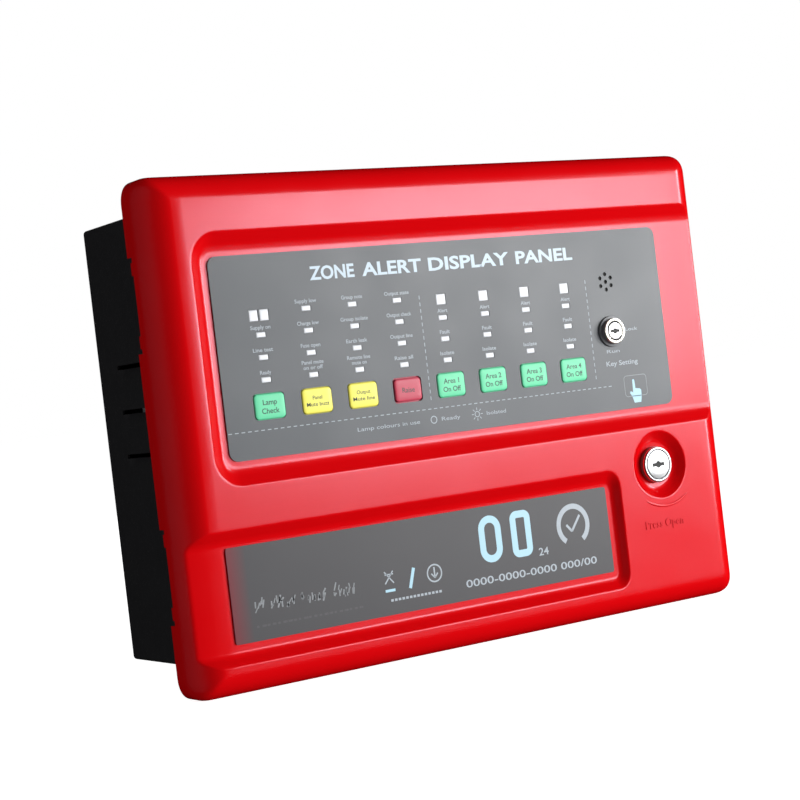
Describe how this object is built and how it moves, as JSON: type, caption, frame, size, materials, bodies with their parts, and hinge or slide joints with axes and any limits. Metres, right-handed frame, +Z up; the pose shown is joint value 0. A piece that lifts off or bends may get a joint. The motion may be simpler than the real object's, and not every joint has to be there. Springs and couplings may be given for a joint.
{
  "type": "fire alarm control panel",
  "caption": "Wall-hung fire alarm control panel: black steel back box, hinged red cover with indicator windows, push keys, key switch and cam lock.",
  "frame": {"origin": "centre of the back box's rear face, on the wall plane", "axes": "+Z up; the front faces -Y, so +Y points into the wall; +X to the right as seen from the front"},
  "size_m": [0.366, 0.1015, 0.266],
  "materials": {
    "red_abs": "glossy moulded ABS",
    "black_steel": "fine matt black powder coat",
    "zinc_steel": "zinc plated",
    "chrome": "polished nickel-chrome",
    "overlay_grey": "satin printed polycarbonate",
    "overlay_dark": "satin printed polycarbonate",
    "green_key": "satin translucent",
    "yellow_key": "satin translucent",
    "red_key": "satin translucent",
    "white_lens": "diffusing",
    "circuit_board": "solder mask",
    "black_plastic": "satin",
    "green_plastic": "satin",
    "nylon": "satin",
    "battery_grey": "satin",
    "laminated_iron": "varnished laminations",
    "winding_tape": "polyester tape",
    "rubber": "matt",
    "ribbon_grey": "PVC flat cable"
  },
  "bodies": {
    "case": {"back_box": "black_steel", "cable_grommet_1": "rubber", "cable_grommet_2": "rubber", "board_standoff_1": "nylon", "board_standoff_2": "nylon", "board_standoff_3": "nylon", "board_standoff_4": "nylon", "main_board": "circuit_board", "zone_terminals": "green_plastic", "sounder_terminals": "green_plastic", "fuse_holder": "black_plastic", "relay_alarm": "black_plastic", "relay_fault": "black_plastic", "processor_chip": "black_plastic", "main_ribbon_socket": "black_plastic", "smoothing_capacitor": "black_plastic", "transformer_core": "laminated_iron", "transformer_coil": "winding_tape", "mains_terminals": "nylon", "earth_stud": "zinc_steel", "battery_left": "battery_grey", "battery_right": "battery_grey", "battery_strap": "zinc_steel", "ribbon_cable": "ribbon_grey", "latch_keeper": "zinc_steel", "box_hinge_upper": "zinc_steel", "box_hinge_lower": "zinc_steel"},
    "cover": {"front_cover": "red_abs", "status_overlay": "overlay_grey", "lower_overlay": "overlay_dark", "led_light_guide": "white_lens", "display_board": "circuit_board", "board_screw_1": "zinc_steel", "board_screw_2": "zinc_steel", "board_screw_3": "zinc_steel", "board_screw_4": "zinc_steel", "buzzer": "black_plastic", "display_ribbon_socket": "black_plastic", "lock_body": "chrome", "lock_nut": "zinc_steel", "keyswitch_body": "chrome", "keyswitch_nut": "zinc_steel", "hinge_pin_upper": "zinc_steel", "hinge_pin_lower": "zinc_steel"},
    "lock": {"lock_plug": "chrome", "lock_cam": "zinc_steel", "lock_cam_nut": "zinc_steel"},
    "keyswitch": {"keyswitch_plug": "chrome"},
    "key_reset": {"key_reset": "green_key"},
    "key_panel_silence": {"key_panel_silence": "yellow_key"},
    "key_sounder_silence": {"key_sounder_silence": "yellow_key"},
    "key_evacuate": {"key_evacuate": "red_key"},
    "key_zone_1": {"key_zone_1": "green_key"},
    "key_zone_2": {"key_zone_2": "green_key"},
    "key_zone_3": {"key_zone_3": "green_key"},
    "key_zone_4": {"key_zone_4": "green_key"}
  },
  "joints": [
    {"name": "cover_swing", "type": "hinge", "parent": "case", "child": "cover", "pos_m": [-0.177, -0.082, 0], "axis": [0, 0, -1], "range_deg": [0, 110], "deforming": ["ribbon_cable"]},
    {"name": "lock_turn", "type": "hinge", "parent": "cover", "child": "lock", "pos_m": [0.1315, -0.0997, -0.0499], "axis": [0, -1, 0], "range_deg": [0, 90]},
    {"name": "keyswitch_turn", "type": "hinge", "parent": "cover", "child": "keyswitch", "pos_m": [0.1093, -0.1015, 0.0309], "axis": [0, 1, 0], "range_deg": [0, 90]},
    {"name": "key_reset_press", "type": "slide", "parent": "cover", "child": "key_reset", "axis": [0, 1, 0], "range_m": [0, 0.0005], "stiffness_N_per_m": 1500},
    {"name": "key_panel_silence_press", "type": "slide", "parent": "cover", "child": "key_panel_silence", "axis": [0, 1, 0], "range_m": [0, 0.0005], "stiffness_N_per_m": 1500},
    {"name": "key_sounder_silence_press", "type": "slide", "parent": "cover", "child": "key_sounder_silence", "axis": [0, 1, 0], "range_m": [0, 0.0005], "stiffness_N_per_m": 1500},
    {"name": "key_evacuate_press", "type": "slide", "parent": "cover", "child": "key_evacuate", "axis": [0, 1, 0], "range_m": [0, 0.0005], "stiffness_N_per_m": 1500},
    {"name": "key_zone_1_press", "type": "slide", "parent": "cover", "child": "key_zone_1", "axis": [0, 1, 0], "range_m": [0, 0.0005], "stiffness_N_per_m": 1500},
    {"name": "key_zone_2_press", "type": "slide", "parent": "cover", "child": "key_zone_2", "axis": [0, 1, 0], "range_m": [0, 0.0005], "stiffness_N_per_m": 1500},
    {"name": "key_zone_3_press", "type": "slide", "parent": "cover", "child": "key_zone_3", "axis": [0, 1, 0], "range_m": [0, 0.0005], "stiffness_N_per_m": 1500},
    {"name": "key_zone_4_press", "type": "slide", "parent": "cover", "child": "key_zone_4", "axis": [0, 1, 0], "range_m": [0, 0.0005], "stiffness_N_per_m": 1500}
  ]
}
